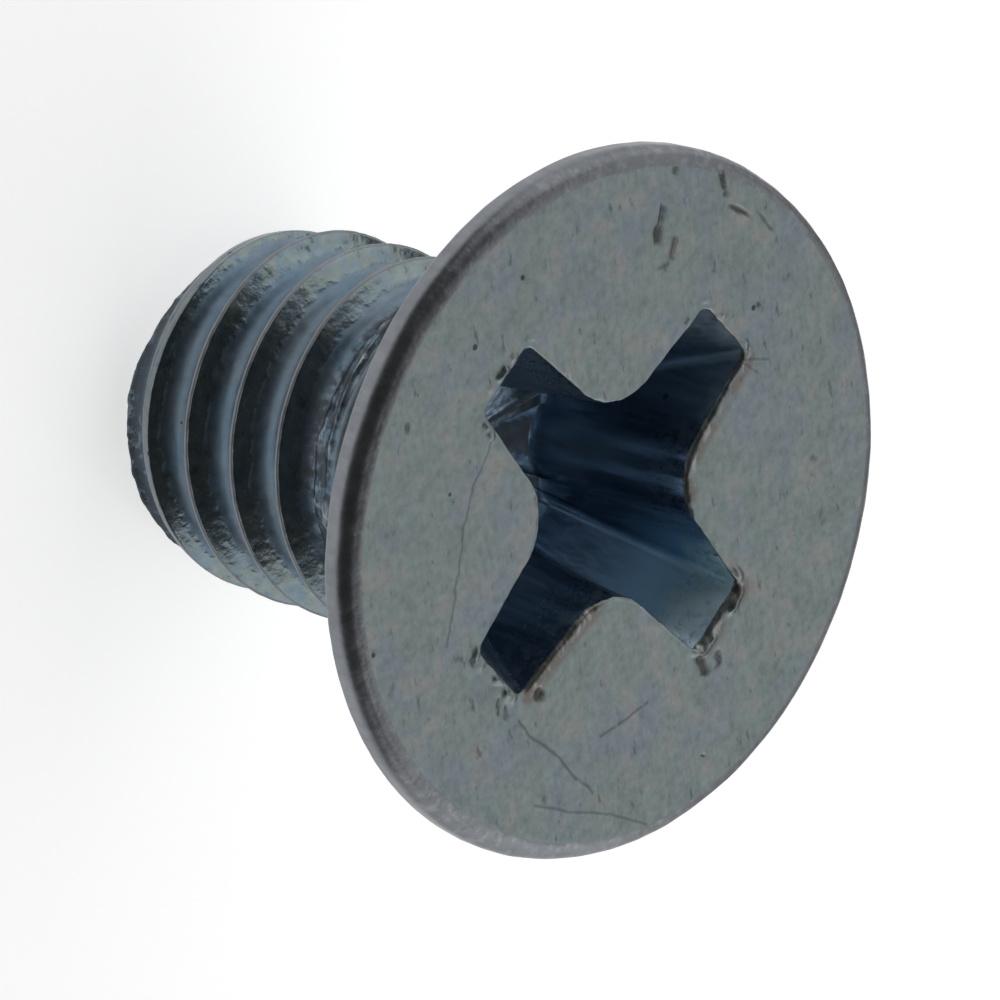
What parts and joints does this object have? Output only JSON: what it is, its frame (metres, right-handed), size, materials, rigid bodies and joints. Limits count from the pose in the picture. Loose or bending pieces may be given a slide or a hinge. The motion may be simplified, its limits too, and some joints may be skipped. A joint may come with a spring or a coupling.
{
  "type": "countersunk machine screw",
  "caption": "Short countersunk steel screw with a flat head, cross recess and full metric thread; bright zinc finish.",
  "frame": {"origin": "centre of the flat head face, on the screw's axis", "axes": "+Z looks out of the head face, and the shank hangs down along -Z, as when the screw is driven into a level surface; the recess wings lie along X and Y"},
  "size_m": [0.0074, 0.0074, 0.0059],
  "materials": {
    "head_zinc": "satin bright-zinc plating, slightly mottled and scratched on the flat face",
    "shank_zinc": "bright-zinc plating on the core between the thread's turns",
    "thread_zinc": "glossy rolled flanks with bluish bright-zinc plating"
  },
  "bodies": {
    "root": {"head": "head_zinc", "shank": "shank_zinc", "thread": "thread_zinc"}
  },
  "joints": []
}
